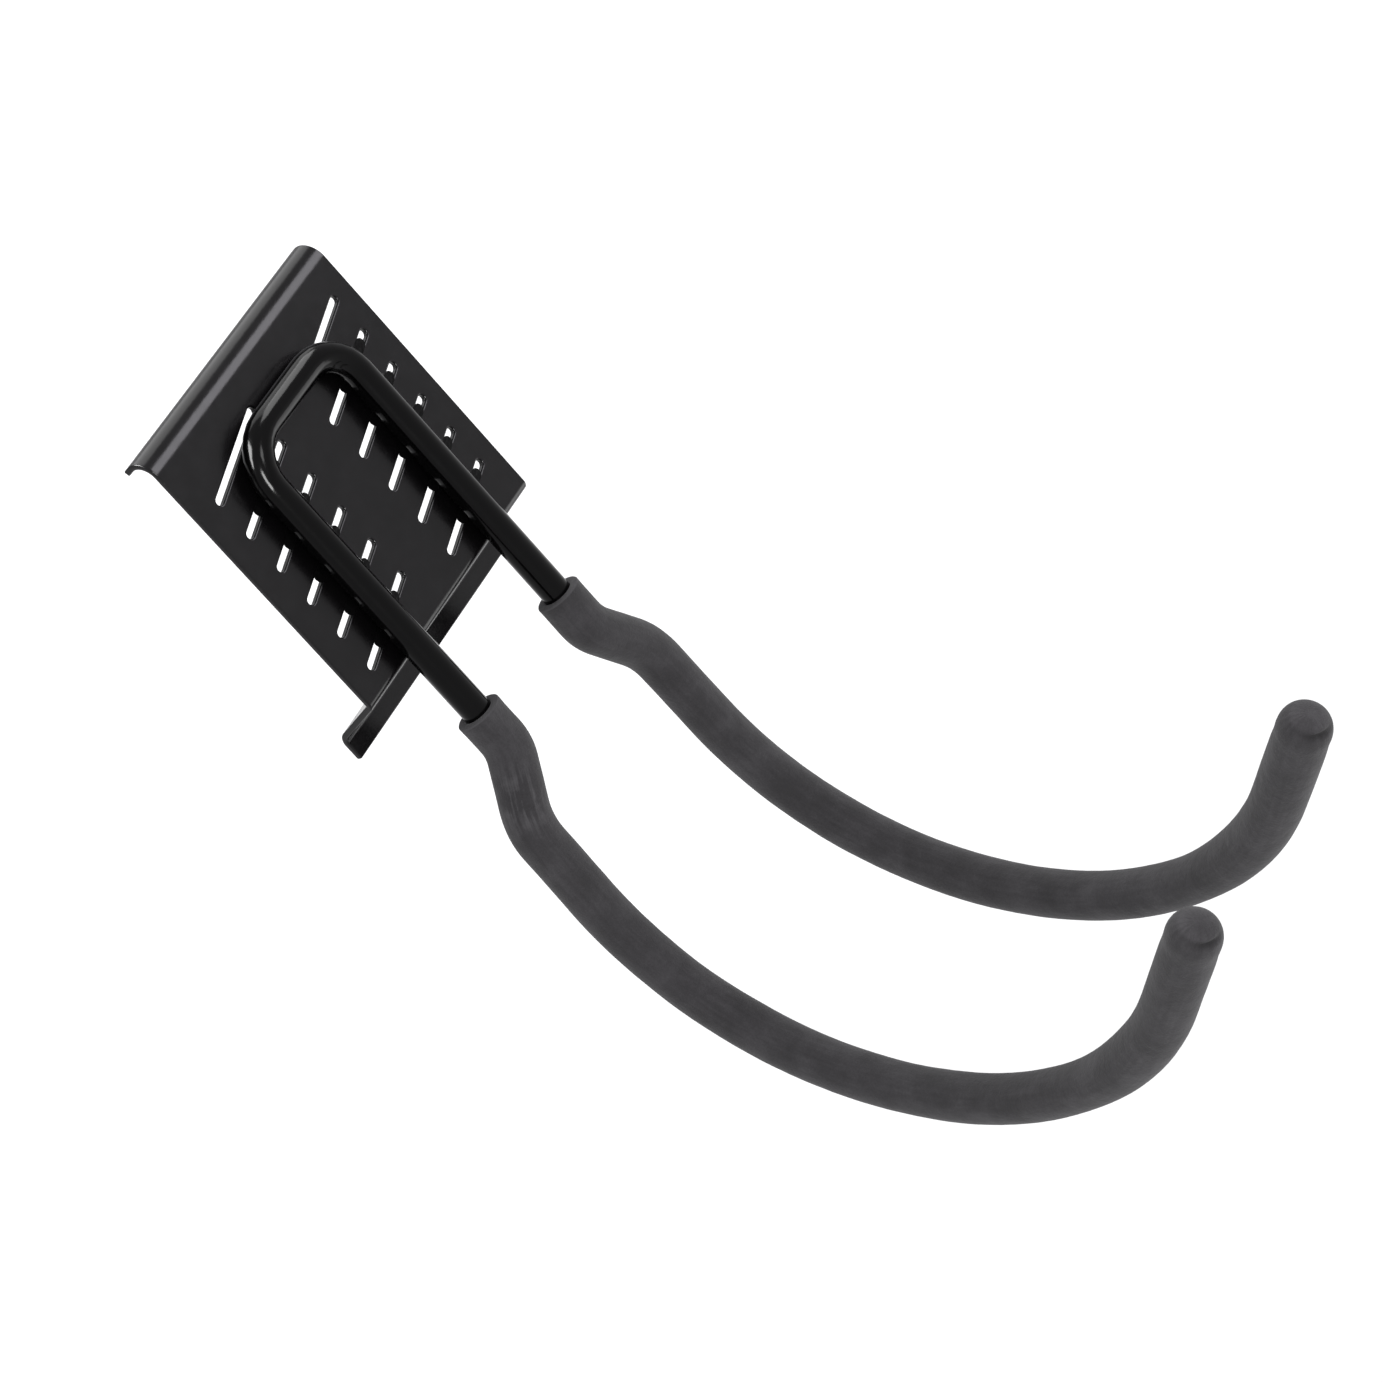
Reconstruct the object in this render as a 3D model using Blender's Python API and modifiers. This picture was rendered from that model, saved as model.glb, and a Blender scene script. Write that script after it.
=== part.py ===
"""A hook that hangs a bicycle from a slotted wall panel.

A pressed steel back plate carries one bent round bar. The bar lies on the plate as an
upside-down U, is welded to it through the plate's slots, and its two legs run down, step
outwards and sweep forwards and up as a pair of arms. A foam sleeve covers each arm.

Metres, +Z up. The wall is towards +Y, so the hook's front faces -Y, and +X is its right.
The origin is the middle of the back plate's rear face, which bears on the wall panel.
"""

import math

import bmesh
import bpy
from mathutils import Vector

# Back plate: one sheet, bent at the top into a lip and at the bottom into a ledge.
PLATE_WIDTH = 0.098
PLATE_THICKNESS = 0.0020
PLATE_TOP = 0.0453
PLATE_BOTTOM = -0.0500
LIP_BEND_RADIUS = 0.0065
LIP_SLOPE = math.radians(17)
LIP_LENGTH = 0.0029
LEDGE_BEND_RADIUS = 0.0026
LEDGE_DEPTH = 0.0214
LEDGE_DROP = 0.0075
LEDGE_BOTTOM = -0.0642

# Slots through the back plate: two columns, each crossing behind one leg of the bar.
SLOT_ROWS = 6
SLOT_PITCH = 0.01346
SLOT_LENGTH = 0.0334
SLOT_WIDTH = 0.0027
SLOT_TILT = math.radians(16)
SLOT_LOWEST = -0.0368
SLOT_COLUMN_OFFSET = 0.0248
SLOT_COLUMNS_SHIFT = 0.00085
SLOT_END_STEPS = 6

# Bar: round steel rod, bent on the centreline given here.
BAR_RADIUS = 0.00475
LEG_OFFSET = 0.0256
CROSSBAR_HEIGHT = 0.0310
CROSSBAR_CORNER_RADIUS = 0.0140
JOG_TOP = -0.0855
JOG_ANGLE = math.radians(33)
JOG_UPPER_RADIUS = 0.0140
JOG_STRAIGHT = 0.0136
JOG_LOWER_RADIUS = 0.0240
JOG_TOWARDS_WALL = math.radians(8)
SPLAY = math.radians(1.2)
ARM_SWEEP_START = -0.1415
ARM_RADIUS = 0.1055
ARM_SWEEP = math.radians(129)
ARM_TIP_LENGTH = 0.0405
BAR_END_SETBACK = 0.0120
BEND_ANGLE_STEP = math.radians(8)
BAR_LONGEST_PIECE = 0.030
BAR_BEVEL_RESOLUTION = 4

# Foam sleeves over the arms. The end that turns up is a little thicker.
SLEEVE_RADIUS = 0.0077
SLEEVE_TIP_RADIUS = 0.0084
SLEEVE_TOP = -0.0750
SLEEVE_THICKENING_START = 0.245
SLEEVE_THICKENING_LENGTH = 0.040
SLEEVE_DOME_STEPS = 5
SLEEVE_DOME_ANGLE = math.radians(84)
SLEEVE_LONGEST_PIECE = 0.012
SLEEVE_BEVEL_RESOLUTION = 5
BORE_OVERRUN = 0.004

# Welds behind each leg of the bar: they join it to the plate through every slot of its
# column but the top one, which lies behind the crossbar.
WELD_LENGTH = 0.0180
WELD_COLUMN_OFFSET = 0.02645
WELD_COLUMNS_SHIFT = 0.00295
WELD_ROWS = SLOT_ROWS - 1

CLEARANCE = 0.0003
SHARP_ANGLE = math.radians(45)
SAME_POINT = 1e-5
SAME_VERTEX = 1e-6
BAR_PLANE = -PLATE_THICKNESS - CLEARANCE - BAR_RADIUS


def clear_scene():
    for obj in list(bpy.data.objects):
        bpy.data.objects.remove(obj, do_unlink=True)


def make_collection(name):
    collection = bpy.data.collections.new(name)
    bpy.context.scene.collection.children.link(collection)
    return collection


def make_material(name, colour, roughness, metallic=0.0):
    material = bpy.data.materials.new(name)
    material.use_nodes = True
    shader = material.node_tree.nodes["Principled BSDF"]
    shader.inputs["Base Color"].default_value = (*colour, 1.0)
    shader.inputs["Roughness"].default_value = roughness
    shader.inputs["Metallic"].default_value = metallic
    return material


def add_object(name, mesh, collection, material=None):
    obj = bpy.data.objects.new(name, mesh)
    collection.objects.link(obj)
    if material:
        mesh.materials.append(material)
    return obj


def hide_helper(obj):
    obj.hide_render = True
    obj.display_type = "WIRE"


def cut(obj, cutter):
    boolean = obj.modifiers.new("cut " + cutter.name, "BOOLEAN")
    boolean.operation = "DIFFERENCE"
    boolean.solver = "EXACT"
    boolean.object = cutter


# ---------------------------------------------------------------- paths


class Path:
    """A line that is drawn forwards from a point, turning in one plane at a time."""

    def __init__(self, point, heading):
        self.points = [Vector(point)]
        self.heading = Vector(heading).normalized()

    def straight(self, length):
        self.points.append(self.points[-1] + self.heading * length)

    def bend(self, radius, angle, towards):
        """Turns through angle on an arc of radius, towards the given direction."""
        start = self.points[-1]
        ahead = self.heading.copy()
        side = Vector(towards) - ahead * ahead.dot(Vector(towards))
        side.normalize()
        steps = max(2, math.ceil(angle / BEND_ANGLE_STEP))
        for step in range(1, steps + 1):
            turned = angle * step / steps
            offset = ahead * math.sin(turned) + side * (1 - math.cos(turned))
            self.points.append(start + offset * radius)
        self.heading = ahead * math.cos(angle) + side * math.sin(angle)

    def bend_to(self, radius, heading):
        """Turns on an arc of radius until it runs along the given heading."""
        target = Vector(heading).normalized()
        self.bend(radius, self.heading.angle(target), target)


def half_bar_path(setback):
    """The right half of the bar's centreline, from the crossbar's middle to the arm's end."""
    path = Path((0.0, BAR_PLANE, CROSSBAR_HEIGHT), (1, 0, 0))
    path.straight(LEG_OFFSET - CROSSBAR_CORNER_RADIUS)
    path.bend(CROSSBAR_CORNER_RADIUS, math.radians(90), (0, 0, -1))
    path.straight(path.points[-1].z - JOG_TOP)
    outwards = (math.cos(JOG_TOWARDS_WALL), math.sin(JOG_TOWARDS_WALL), 0)
    path.bend(JOG_UPPER_RADIUS, JOG_ANGLE, outwards)
    path.straight(JOG_STRAIGHT)
    path.bend_to(JOG_LOWER_RADIUS, (math.sin(SPLAY), 0, -math.cos(SPLAY)))
    path.straight((path.points[-1].z - ARM_SWEEP_START) / math.cos(SPLAY))
    path.bend(ARM_RADIUS, ARM_SWEEP, (0, -1, 0))
    path.straight(ARM_TIP_LENGTH - setback)
    return path.points


def resampled(points, longest_step):
    """The same line with its long straight runs divided."""
    result = [points[0]]
    for start, end in zip(points, points[1:]):
        pieces = max(1, math.ceil((end - start).length / longest_step))
        result += [start.lerp(end, piece / pieces) for piece in range(1, pieces + 1)]
    return result


def without_repeats(points):
    kept = [points[0]]
    for point in points[1:]:
        if (point - kept[-1]).length > SAME_POINT:
            kept.append(point)
    return kept


def below(points, height):
    """The part of a line that falls below a height, starting exactly at it."""
    for index, (start, end) in enumerate(zip(points, points[1:])):
        if start.z >= height > end.z:
            crossing = start.lerp(end, (start.z - height) / (start.z - end.z))
            return [crossing] + points[index + 1 :]
    return points


def mirrored(points):
    return [Vector((-point.x, point.y, point.z)) for point in points]


def tube_mesh(name, points, radii, bevel_resolution):
    """A closed round tube as a mesh, with a radius at each of its points."""
    curve = bpy.data.curves.new(name, "CURVE")
    curve.dimensions = "3D"
    curve.twist_mode = "MINIMUM"
    curve.bevel_depth = 1.0
    curve.bevel_resolution = bevel_resolution
    curve.use_fill_caps = True
    spline = curve.splines.new("POLY")
    spline.points.add(len(points) - 1)
    for spline_point, point, radius in zip(spline.points, points, radii):
        spline_point.co = (*point, 1.0)
        spline_point.radius = radius
    guide = bpy.data.objects.new(name, curve)
    bpy.context.scene.collection.objects.link(guide)
    evaluated = guide.evaluated_get(bpy.context.evaluated_depsgraph_get())
    mesh = bpy.data.meshes.new_from_object(evaluated)
    mesh.name = name
    bpy.data.objects.remove(guide, do_unlink=True)
    bpy.data.curves.remove(curve)
    weld_caps(mesh)
    return mesh


def weld_caps(mesh):
    shape = bmesh.new()
    shape.from_mesh(mesh)
    bmesh.ops.remove_doubles(shape, verts=shape.verts, dist=SAME_VERTEX)
    bmesh.ops.recalc_face_normals(shape, faces=shape.faces)
    shape.to_mesh(mesh)
    shape.free()


# ---------------------------------------------------------------- back plate


def plate_profile():
    """The sheet's front surface seen from the side, from the ledge's foot up to the lip."""
    up_and_over = math.radians(90) + LIP_SLOPE
    front = -PLATE_THICKNESS
    upward = Path((0.0, front, PLATE_TOP), (0, 0, 1))
    upward.bend(LIP_BEND_RADIUS, up_and_over, (0, 1, 0))
    upward.straight(LIP_LENGTH)
    slope = math.atan2(LEDGE_DROP, LEDGE_DEPTH)
    turn = math.radians(90) - slope
    downward = Path((0.0, front, PLATE_BOTTOM + LEDGE_BEND_RADIUS), (0, 0, -1))
    downward.bend(LEDGE_BEND_RADIUS, turn, (0, 1, 0))
    reach = LEDGE_DEPTH - 2 * LEDGE_BEND_RADIUS * (1 - math.cos(turn))
    downward.straight(reach / math.cos(slope))
    downward.bend(LEDGE_BEND_RADIUS, turn, (0, 0, -1))
    downward.straight(downward.points[-1].z - LEDGE_BOTTOM)
    return downward.points[::-1] + upward.points


def sheet_mesh(name, profile, width):
    """The profile swept across the plate's width as an open surface."""
    shape = bmesh.new()
    edges = []
    verts = [shape.verts.new((-width / 2, point.y, point.z)) for point in profile]
    for start, end in zip(verts, verts[1:]):
        edges.append(shape.edges.new((start, end)))
    swept = bmesh.ops.extrude_edge_only(shape, edges=edges)["geom"]
    moved = [item for item in swept if isinstance(item, bmesh.types.BMVert)]
    bmesh.ops.translate(shape, verts=moved, vec=(width, 0, 0))
    mesh = bpy.data.meshes.new(name)
    shape.to_mesh(mesh)
    shape.free()
    return mesh


def slot_centre(side, row):
    x = SLOT_COLUMNS_SHIFT + side * SLOT_COLUMN_OFFSET
    return Vector((x, 0.0, SLOT_LOWEST + row * SLOT_PITCH))


def weld_centre(side, row):
    """The middle of a weld, on its slot's own middle line."""
    slot = slot_centre(side, row)
    shift = WELD_COLUMNS_SHIFT + side * WELD_COLUMN_OFFSET - slot.x
    return slot + Vector((shift, 0.0, shift * math.tan(SLOT_TILT)))


def capsule_outline(length, width):
    """The outline of a slot with round ends, lying along X."""
    radius = width / 2
    reach = length / 2 - radius
    outline = []
    for side, first in ((1, -90), (-1, 90)):
        for step in range(SLOT_END_STEPS + 1):
            angle = math.radians(first + 180 * step / SLOT_END_STEPS)
            outline.append((side * reach + radius * math.cos(angle), radius * math.sin(angle)))
    return outline


def add_capsule(shape, centre, length, width, low_y, high_y):
    """Adds one closed capsule, tilted like the slots, between two depths."""
    tilt_cos = math.cos(SLOT_TILT)
    tilt_sin = math.sin(SLOT_TILT)
    ring = []
    for along, across in capsule_outline(length, width):
        x = centre.x + along * tilt_cos - across * tilt_sin
        z = centre.z + along * tilt_sin + across * tilt_cos
        ring.append(shape.verts.new((x, low_y, z)))
    face = shape.faces.new(ring)
    swept = bmesh.ops.extrude_face_region(shape, geom=[face])["geom"]
    moved = [item for item in swept if isinstance(item, bmesh.types.BMVert)]
    bmesh.ops.translate(shape, verts=moved, vec=(0, high_y - low_y, 0))


def finish_mesh(name, shape):
    bmesh.ops.recalc_face_normals(shape, faces=shape.faces)
    mesh = bpy.data.meshes.new(name)
    shape.to_mesh(mesh)
    shape.free()
    return mesh


def slot_cutter(collection):
    shape = bmesh.new()
    depth = 2 * PLATE_THICKNESS
    for side in (-1, 1):
        for row in range(SLOT_ROWS):
            centre = slot_centre(side, row)
            add_capsule(shape, centre, SLOT_LENGTH, SLOT_WIDTH, -depth, PLATE_THICKNESS)
    cutter = add_object("slot_cutter", finish_mesh("slot_cutter", shape), collection)
    hide_helper(cutter)
    return cutter


def build_back_plate(collection, cutters, material):
    mesh = sheet_mesh("back_plate", plate_profile(), PLATE_WIDTH)
    plate = add_object("back_plate", mesh, collection, material)
    solidify = plate.modifiers.new("sheet thickness", "SOLIDIFY")
    solidify.thickness = PLATE_THICKNESS
    solidify.offset = -1.0
    solidify.use_even_offset = True
    cut(plate, slot_cutter(cutters))
    return plate


# ---------------------------------------------------------------- bar and sleeves


def build_wire_frame(collection, material):
    half = resampled(half_bar_path(BAR_END_SETBACK), BAR_LONGEST_PIECE)
    points = without_repeats(mirrored(half)[::-1] + half)
    radii = [BAR_RADIUS] * len(points)
    mesh = tube_mesh("wire_frame", points, radii, BAR_BEVEL_RESOLUTION)
    bar = add_object("wire_frame", mesh, collection, material)
    mesh.shade_smooth()
    mesh.set_sharp_from_angle(angle=SHARP_ANGLE)
    return bar


def sleeve_radius(distance):
    """The sleeve's radius at a distance along it from its open end."""
    share = (distance - SLEEVE_THICKENING_START) / SLEEVE_THICKENING_LENGTH
    share = min(1.0, max(0.0, share))
    smooth = share * share * (3 - 2 * share)
    return SLEEVE_RADIUS + (SLEEVE_TIP_RADIUS - SLEEVE_RADIUS) * smooth


def sleeve_outline(points):
    """The sleeve's centreline and radii, ending in a round dome."""
    radii = []
    distance = 0.0
    for index, point in enumerate(points):
        distance += (point - points[index - 1]).length if index else 0.0
        radii.append(sleeve_radius(distance))
    heading = (points[-1] - points[-2]).normalized()
    centre = points[-1]
    points = list(points)
    for step in range(1, SLEEVE_DOME_STEPS + 1):
        angle = SLEEVE_DOME_ANGLE * step / SLEEVE_DOME_STEPS
        points.append(centre + heading * SLEEVE_TIP_RADIUS * math.sin(angle))
        radii.append(SLEEVE_TIP_RADIUS * math.cos(angle))
    return points, radii


def build_sleeve(name, side, collection, cutters, material):
    line = half_bar_path(SLEEVE_TIP_RADIUS)
    line = without_repeats(resampled(below(line, SLEEVE_TOP), SLEEVE_LONGEST_PIECE))
    bore = below(half_bar_path(BAR_END_SETBACK - CLEARANCE), SLEEVE_TOP + BORE_OVERRUN)
    bore = without_repeats(resampled(bore, BAR_LONGEST_PIECE))
    if side < 0:
        line = mirrored(line)
        bore = mirrored(bore)
    points, radii = sleeve_outline(line)
    mesh = tube_mesh(name, points, radii, SLEEVE_BEVEL_RESOLUTION)
    sleeve = add_object(name, mesh, collection, material)
    bore_radii = [BAR_RADIUS + CLEARANCE] * len(bore)
    bore_mesh = tube_mesh(name + "_bore", bore, bore_radii, BAR_BEVEL_RESOLUTION)
    cutter = add_object(name + "_bore", bore_mesh, cutters)
    hide_helper(cutter)
    cut(sleeve, cutter)
    sleeve.data.shade_smooth()
    sleeve.data.set_sharp_from_angle(angle=SHARP_ANGLE)
    return sleeve


def build_welds(collection, material):
    """Slot welds, each a short plug behind the bar that fills its slot's depth."""
    length = WELD_LENGTH
    width = SLOT_WIDTH - 2 * CLEARANCE
    for side, side_name in ((-1, "left"), (1, "right")):
        for row in range(WELD_ROWS):
            name = f"slot_weld_{side_name}_{row + 1}"
            shape = bmesh.new()
            centre = weld_centre(side, row)
            add_capsule(shape, centre, length, width, -PLATE_THICKNESS, -CLEARANCE)
            add_object(name, finish_mesh(name, shape), collection, material)


def main():
    clear_scene()
    bpy.context.scene.unit_settings.system = "METRIC"
    parts = make_collection("bicycle_wall_hook")
    cutters = make_collection("cutters")
    cutters.hide_render = True
    paint = make_material("gloss_black_paint", (0.012, 0.011, 0.012), 0.22)
    bar_paint = make_material("bar_black_paint", (0.014, 0.013, 0.014), 0.28)
    foam = make_material("charcoal_foam", (0.055, 0.052, 0.056), 0.9)
    weld = make_material("weld_black_paint", (0.018, 0.017, 0.018), 0.4)
    build_back_plate(parts, cutters, paint)
    build_wire_frame(parts, bar_paint)
    build_sleeve("foam_sleeve_left", -1, parts, cutters, foam)
    build_sleeve("foam_sleeve_right", 1, parts, cutters, foam)
    build_welds(parts, weld)


main()
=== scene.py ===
"""The looks of a hook that hangs a bicycle from a slotted wall panel.

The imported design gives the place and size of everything. This script makes the fine meshes
that stand for its plain solids, their materials, a plain floor, soft light and the camera.

Metres, +Z up. The wall is towards +Y and the hook's front faces -Y. The origin is the middle
of the back plate's rear face.
"""

import math

import bmesh
import bpy
from mathutils import Matrix, Vector, noise


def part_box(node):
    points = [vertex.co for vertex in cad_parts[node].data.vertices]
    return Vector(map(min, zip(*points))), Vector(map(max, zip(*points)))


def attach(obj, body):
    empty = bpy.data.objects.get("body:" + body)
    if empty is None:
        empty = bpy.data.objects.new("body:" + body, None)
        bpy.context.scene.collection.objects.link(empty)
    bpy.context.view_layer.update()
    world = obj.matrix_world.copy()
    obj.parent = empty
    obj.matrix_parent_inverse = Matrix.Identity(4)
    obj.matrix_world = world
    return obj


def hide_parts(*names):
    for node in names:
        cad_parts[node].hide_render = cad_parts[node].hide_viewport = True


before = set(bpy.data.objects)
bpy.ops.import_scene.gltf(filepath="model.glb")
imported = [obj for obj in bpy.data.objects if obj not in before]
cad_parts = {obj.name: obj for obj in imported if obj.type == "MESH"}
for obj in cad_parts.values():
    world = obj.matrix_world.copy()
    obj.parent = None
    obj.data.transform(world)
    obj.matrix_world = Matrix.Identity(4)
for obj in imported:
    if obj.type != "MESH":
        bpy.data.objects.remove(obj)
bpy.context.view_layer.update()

# Driving dimensions, the same as in the design.
PLATE_THICKNESS = 0.0020
PLATE_TOP = 0.0453
PLATE_BOTTOM = -0.0500
LIP_BEND_RADIUS = 0.0065
LIP_SLOPE = math.radians(17)
LIP_LENGTH = 0.0029
LEDGE_BEND_RADIUS = 0.0026
LEDGE_DEPTH = 0.0214
LEDGE_DROP = 0.0075

SLOT_ROWS = 6
SLOT_PITCH = 0.01346
SLOT_LENGTH = 0.0334
SLOT_WIDTH = 0.0027
SLOT_TILT = math.radians(16)
SLOT_LOWEST = -0.0368
SLOT_COLUMN_OFFSET = 0.0248
SLOT_COLUMNS_SHIFT = 0.00085

BAR_RADIUS = 0.00475
LEG_OFFSET = 0.0256
CROSSBAR_HEIGHT = 0.0310
CROSSBAR_CORNER_RADIUS = 0.0140
JOG_TOP = -0.0855
JOG_ANGLE = math.radians(33)
JOG_UPPER_RADIUS = 0.0140
JOG_STRAIGHT = 0.0136
JOG_LOWER_RADIUS = 0.0240
JOG_TOWARDS_WALL = math.radians(8)
SPLAY = math.radians(1.2)
ARM_SWEEP_START = -0.1415
ARM_RADIUS = 0.1055
ARM_SWEEP = math.radians(129)
ARM_TIP_LENGTH = 0.0405
BAR_END_SETBACK = 0.0120

SLEEVE_RADIUS = 0.0077
SLEEVE_TIP_RADIUS = 0.0084
SLEEVE_TOP = -0.0750
SLEEVE_THICKENING_START = 0.245
SLEEVE_THICKENING_LENGTH = 0.040

WELD_LENGTH = 0.0180
WELD_COLUMN_OFFSET = 0.02645
WELD_COLUMNS_SHIFT = 0.00295
WELD_ROWS = SLOT_ROWS - 1

CLEARANCE = 0.0003
BAR_PLANE = -PLATE_THICKNESS - CLEARANCE - BAR_RADIUS

# Fineness of the visible meshes.
BEND_ANGLE_STEP = math.radians(2.5)
BAR_SIDES = 48
BAR_STEP = 0.0030
SLEEVE_SIDES = 72
SLEEVE_STEP = 0.0012
SLOT_END_STEPS = 14
SHEET_EDGE_STEPS = 3
SMOOTH_ANGLE = math.radians(38)

# Rounding left by pressing, punching and trimming.
SHEET_EDGE_ROUNDING = 0.00045
SHEET_EDGE_ANGLE = math.radians(50)
SLOT_FRONT_ROUNDING = 0.0006
SLOT_REAR_ROUNDING = 0.0003
SLEEVE_MOUTH_ROUNDING = 0.0005


# ---------------------------------------------------------------- node materials


CELL_SMOOTHNESS = 0.4


class Nodes:
    """Short ways to add and join the nodes of one material."""

    def __init__(self, name):
        self.material = bpy.data.materials.new(name)
        self.material.use_nodes = True
        self.tree = self.material.node_tree
        self.shader = self.tree.nodes["Principled BSDF"]
        self.place = self.add("ShaderNodeTexCoord").outputs["Object"]

    def add(self, kind, **settings):
        node = self.tree.nodes.new(kind)
        for key, value in settings.items():
            setattr(node, key, value)
        return node

    def link(self, source, target):
        self.tree.links.new(source, target)

    def noise(self, scale, detail=3.0, roughness=0.55, place=None):
        node = self.add("ShaderNodeTexNoise")
        node.inputs["Scale"].default_value = scale
        node.inputs["Detail"].default_value = detail
        node.inputs["Roughness"].default_value = roughness
        self.link(place or self.place, node.inputs["Vector"])
        return node.outputs["Fac"]

    def cells(self, scale):
        node = self.add("ShaderNodeTexVoronoi", feature="SMOOTH_F1")
        node.inputs["Scale"].default_value = scale
        node.inputs["Smoothness"].default_value = CELL_SMOOTHNESS
        self.link(self.place, node.inputs["Vector"])
        return node.outputs["Distance"]

    def map_range(self, value, low, high, to_low, to_high):
        node = self.add("ShaderNodeMapRange")
        for key, number in (
            ("From Min", low), ("From Max", high), ("To Min", to_low), ("To Max", to_high)
        ):
            node.inputs[key].default_value = number
        self.link(value, node.inputs["Value"])
        return node.outputs["Result"]

    def ramp(self, value, stops):
        node = self.add("ShaderNodeValToRGB")
        elements = node.color_ramp.elements
        while len(elements) < len(stops):
            elements.new(0.5)
        for element, (position, colour) in zip(elements, stops):
            element.position = position
            element.color = (*colour, 1.0)
        self.link(value, node.inputs["Fac"])
        return node.outputs["Color"]

    def math(self, operation, first, second):
        node = self.add("ShaderNodeMath", operation=operation)
        for socket, value in zip(node.inputs, (first, second)):
            if isinstance(value, (int, float)):
                socket.default_value = value
            else:
                self.link(value, socket)
        return node.outputs["Value"]

    def bump(self, height, depth, normal=None):
        """A bump whose height runs from 0 to depth, in metres."""
        node = self.add("ShaderNodeBump")
        node.inputs["Strength"].default_value = 1.0
        node.inputs["Distance"].default_value = depth
        self.link(height, node.inputs["Height"])
        if normal:
            self.link(normal, node.inputs["Normal"])
        return node.outputs["Normal"]

    def length_uv(self):
        """The UV map whose U is the distance along the piece, in metres."""
        return self.add("ShaderNodeUVMap", uv_map="length").outputs["UV"]

    def stretched_place(self, factors):
        node = self.add("ShaderNodeMapping")
        node.inputs["Scale"].default_value = factors
        self.link(self.length_uv(), node.inputs["Vector"])
        return node.outputs["Vector"]

    def mix(self, share, first, second_colour):
        """One colour that gives way to a plain one by a share."""
        node = self.add("ShaderNodeMix", data_type="RGBA")
        self.link(share, node.inputs["Factor"])
        self.link(first, node.inputs["A"])
        node.inputs["B"].default_value = (*second_colour, 1.0)
        return node.outputs["Result"]


# Powder coats: colour, roughness, depth of the ripple and specular level.
PLATE_PAINT = ((0.0042, 0.0038, 0.0042), 0.21, 0.00002, 0.28)
BAR_PAINT = ((0.0010, 0.0009, 0.0010), 0.14, 0.00002, 0.17)
WELD_PAINT = ((0.0040, 0.0037, 0.0040), 0.40, 0.00030, 0.12)

# The smallest and greatest shares of its own colour and roughness that a coat takes.
COAT_COLOUR_SHARES = (0.82, 1.2)
COAT_ROUGHNESS_SHARES = (0.85, 1.2)

# Noise scales of a coat's patterns, and the grain's depth as a share of the ripple's.
COAT_CLOUD_SCALE = 60
COAT_GLOSS_SCALE = 190
COAT_RIPPLE_SCALE = 520
COAT_GRAIN_SCALE = 5200
COAT_GRAIN_SHARE = 0.05

# The stretch of a noise's value within which most of it lies.
NOISE_LOW = 0.3
NOISE_HIGH = 0.7


def painted_steel(name, colour, roughness, ripple_depth, specular):
    """Powder coat on steel: near black, with the faint ripple that the powder leaves."""
    nodes = Nodes(name)
    cloud = nodes.noise(COAT_CLOUD_SCALE, detail=4)
    darker, lighter = (
        tuple(share * channel for channel in colour) for share in COAT_COLOUR_SHARES
    )
    shades = nodes.ramp(cloud, ((NOISE_LOW, darker), (NOISE_HIGH, lighter)))
    nodes.link(shades, nodes.shader.inputs["Base Color"])
    gloss = nodes.noise(COAT_GLOSS_SCALE, detail=5, roughness=0.7)
    smoothest, roughest = (roughness * share for share in COAT_ROUGHNESS_SHARES)
    varied = nodes.map_range(gloss, NOISE_LOW, NOISE_HIGH, smoothest, roughest)
    nodes.link(varied, nodes.shader.inputs["Roughness"])
    ripple = nodes.bump(nodes.noise(COAT_RIPPLE_SCALE, detail=1.5), ripple_depth)
    grain_depth = ripple_depth * COAT_GRAIN_SHARE
    grain = nodes.bump(nodes.noise(COAT_GRAIN_SCALE, detail=2), grain_depth, normal=ripple)
    nodes.link(grain, nodes.shader.inputs["Normal"])
    nodes.shader.inputs["Specular IOR Level"].default_value = specular
    return nodes.material


FOAM_DARK = (0.0232, 0.0219, 0.0237)
FOAM_COLOUR = (0.0320, 0.0303, 0.0328)
FOAM_WORN = (0.0465, 0.0445, 0.0477)
FOAM_SCUFFED = (0.0820, 0.0795, 0.0835)
# Painted light: the lighter colour of the sleeve's upward-facing mouth.
FOAM_MOUTH_PAINTED_LIGHT = (0.0640, 0.0620, 0.0660)

# Where each colour stands in the mottling, which mixes clouds, speckles and streaks by share.
FOAM_STOPS = ((0.40, FOAM_DARK), (0.50, FOAM_COLOUR), (0.62, FOAM_WORN))
FOAM_CLOUD_SCALE = 85
FOAM_CLOUD_SHARE = 0.62
FOAM_SPECKLE_SCALE = 1500
FOAM_SPECKLE_SHARE = 0.16
FOAM_STREAK_SCALES = (60.0, 30.0, 1.0)
FOAM_STREAK_SHARE = 0.22

# A scuffed patch where the left sleeve steps outwards: its middle, its reach, and the sums of
# streak and cloud at which scuffs set in and are full.
SCUFF_PLACE = (-0.0395, -0.0105, -0.1005)
SCUFF_REACH = 0.0130
SCUFF_ONSET = 0.93
SCUFF_FULL = 1.13

# Painted light on the cut end, which faces up, fades between these distances from the mouth.
MOUTH_LIGHT_FULL = 0.0002
MOUTH_LIGHT_GONE = 0.0006

# The skin's soft dents and fine cells.
FOAM_DENT_SCALE = 240
FOAM_DENT_DEPTH = 0.00035
FOAM_CELL_SCALE = 2600
FOAM_CELL_DEPTH = 0.00006

FOAM_SMOOTHEST = 0.78
FOAM_ROUGHEST = 0.95
FOAM_SPECULAR = 0.25
FOAM_SHEEN = 0.12
FOAM_SHEEN_ROUGHNESS = 0.6


def foam_mottling(nodes, cloud, speckle, streak):
    mixed = nodes.math("MULTIPLY", cloud, FOAM_CLOUD_SHARE)
    mixed = nodes.math("ADD", mixed, nodes.math("MULTIPLY", speckle, FOAM_SPECKLE_SHARE))
    mixed = nodes.math("ADD", mixed, nodes.math("MULTIPLY", streak, FOAM_STREAK_SHARE))
    return nodes.ramp(mixed, FOAM_STOPS)


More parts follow.
